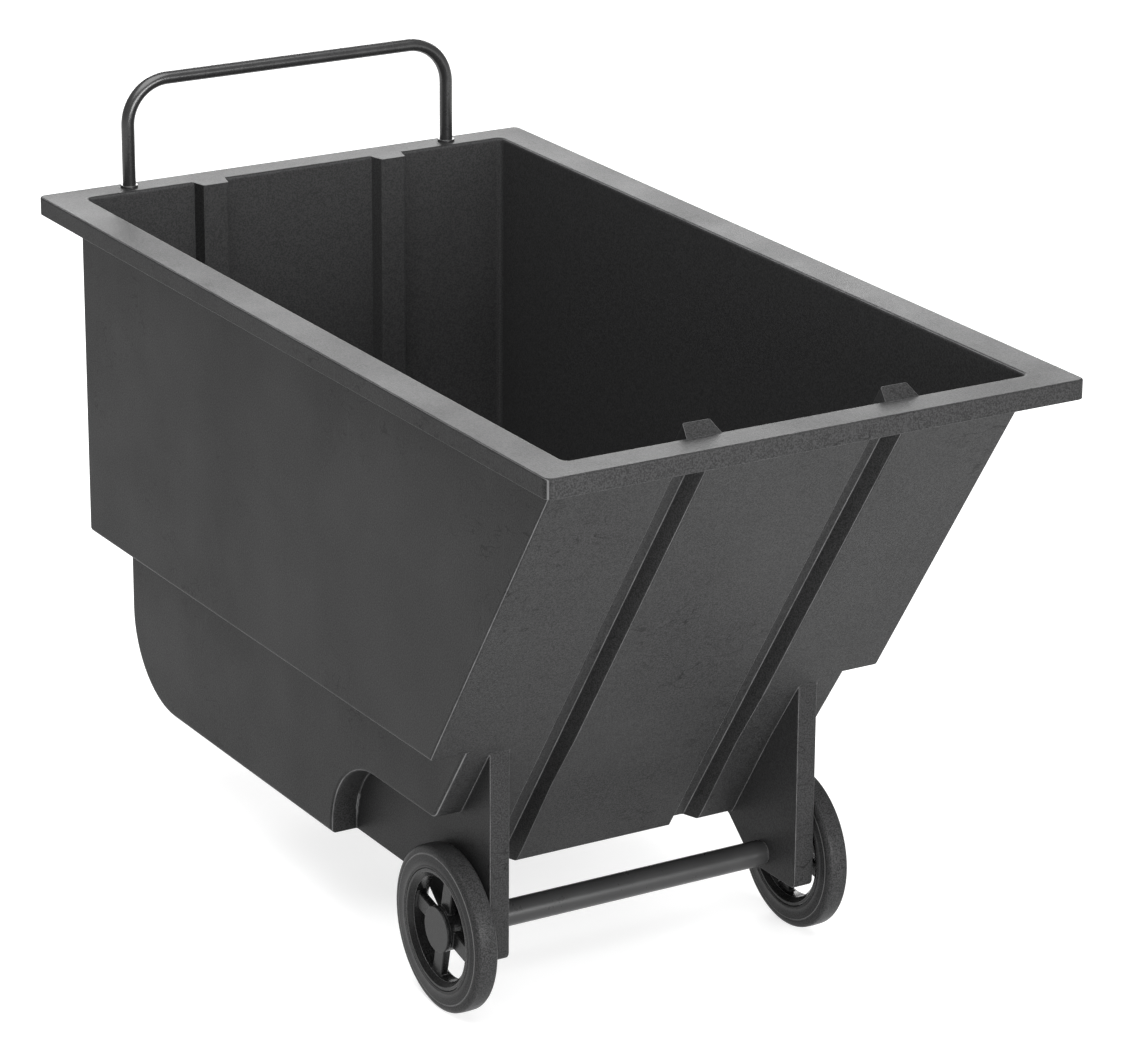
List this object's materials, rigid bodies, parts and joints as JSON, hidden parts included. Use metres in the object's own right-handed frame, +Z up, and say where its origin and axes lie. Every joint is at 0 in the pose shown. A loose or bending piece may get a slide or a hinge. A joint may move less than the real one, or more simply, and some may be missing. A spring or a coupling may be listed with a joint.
{
  "type": "wheeled hopper cart",
  "caption": "Wheeled plastic hopper cart for waste: open flanged tub with a sloped tipping front, rod handle, fixed wheels on an axle under the slope, and a swivel caster.",
  "frame": {"origin": "on the floor, under the middle of the rim", "axes": "+Z up, +Y towards the handle end, -Y towards the sloped tipping end, X across the cart along the axle"},
  "size_m": [0.712, 1.29, 0.9586],
  "materials": {
    "tub_plastic": "charcoal polyethylene with a fine satin grain",
    "handle_steel": "smooth dark grey powder coat",
    "tube_steel": "smooth grey paint",
    "zinc": "zinc plated",
    "wheel_plastic": "moulded dark grey polypropylene",
    "tyre": "dark grey solid rubber",
    "core_plastic": "moulded nylon",
    "caster_tread": "solid rubber",
    "nylon": "natural nylon",
    "nylon_black": "black nylon"
  },
  "bodies": {
    "cart": {"tub": "tub_plastic", "handle_bar": "handle_steel", "handle_collars": "handle_steel", "handle_washers": "zinc", "handle_nuts": "zinc", "axle_tube": "tube_steel", "axle_rod": "zinc", "axle_bush_left": "nylon_black", "axle_bush_right": "nylon_black", "axle_inner_washers": "zinc", "axle_outer_washers": "zinc", "axle_push_nuts": "zinc", "caster_plate": "zinc", "caster_bolts": "zinc", "caster_washers": "zinc", "caster_inserts": "zinc", "caster_balls": "zinc", "caster_kingpin": "zinc"},
    "left_wheel": {"left_wheel_rim": "wheel_plastic", "left_tyre": "tyre", "left_wheel_bush": "nylon", "left_hub_cap": "wheel_plastic"},
    "right_wheel": {"right_wheel_rim": "wheel_plastic", "right_tyre": "tyre", "right_wheel_bush": "nylon", "right_hub_cap": "wheel_plastic"},
    "caster_swivel": {"caster_fork": "zinc", "caster_axle_bolt": "zinc", "caster_axle_nut": "zinc", "caster_sleeve": "zinc"},
    "caster_wheel": {"caster_wheel_core": "core_plastic", "caster_tyre": "caster_tread"}
  },
  "joints": [
    {"name": "left_wheel_spin", "type": "hinge", "parent": "cart", "child": "left_wheel", "pos_m": [-0.2482, -0.2313, 0.1035], "axis": [1, 0, 0], "continuous": true},
    {"name": "right_wheel_spin", "type": "hinge", "parent": "cart", "child": "right_wheel", "pos_m": [0.2482, -0.2313, 0.1035], "axis": [1, 0, 0], "continuous": true},
    {"name": "caster_swivel_turn", "type": "hinge", "parent": "cart", "child": "caster_swivel", "pos_m": [0, 0.375, 0.113], "axis": [0, 0, 1], "continuous": true},
    {"name": "caster_wheel_spin", "type": "hinge", "parent": "caster_swivel", "child": "caster_wheel", "pos_m": [0, 0.409, 0.05], "axis": [1, 0, 0], "continuous": true}
  ]
}
